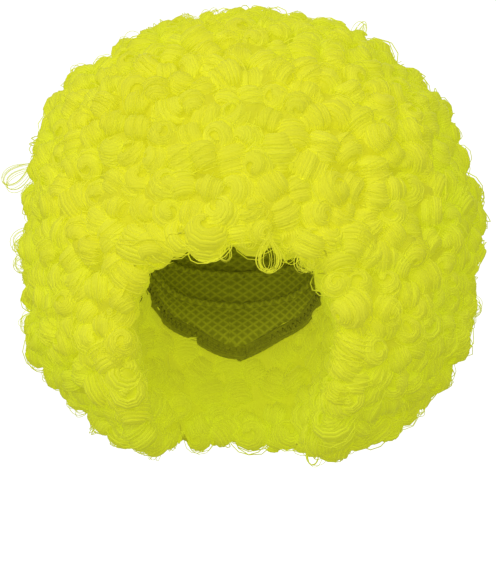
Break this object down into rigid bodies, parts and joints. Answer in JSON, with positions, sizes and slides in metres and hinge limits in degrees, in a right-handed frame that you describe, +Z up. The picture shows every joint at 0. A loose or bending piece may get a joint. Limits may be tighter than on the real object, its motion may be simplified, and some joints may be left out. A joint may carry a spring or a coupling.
{
  "type": "clown wig",
  "caption": "Big round curly costume wig in neon yellow, tiers of ringlets sewn to a stretch cap with an elastic edge, open for the face and neck.",
  "frame": {"origin": "top of the head, on the inside of the cap where it sits on the crown", "axes": "+Z up as worn, the face opening looks along -Y, +X to the wearer's left"},
  "size_m": [0.3623, 0.3363, 0.3488],
  "materials": {
    "hair": "soft sheen of curled synthetic fibre",
    "cap_net": "matte stretch net",
    "elastic": "matte ribbed elastic"
  },
  "bodies": {
    "root": {"cap": "cap_net", "elastic_band": "elastic", "top_curls": "hair", "crown_curls": "hair", "upper_front_curls": "hair", "upper_left_curls": "hair", "upper_back_curls": "hair", "upper_right_curls": "hair", "fringe_curls": "hair", "temple_left_curls": "hair", "mid_back_curls": "hair", "temple_right_curls": "hair", "ear_left_curls": "hair", "lower_back_curls": "hair", "ear_right_curls": "hair", "jaw_left_curls": "hair", "nape_curls": "hair", "jaw_right_curls": "hair"}
  },
  "joints": []
}
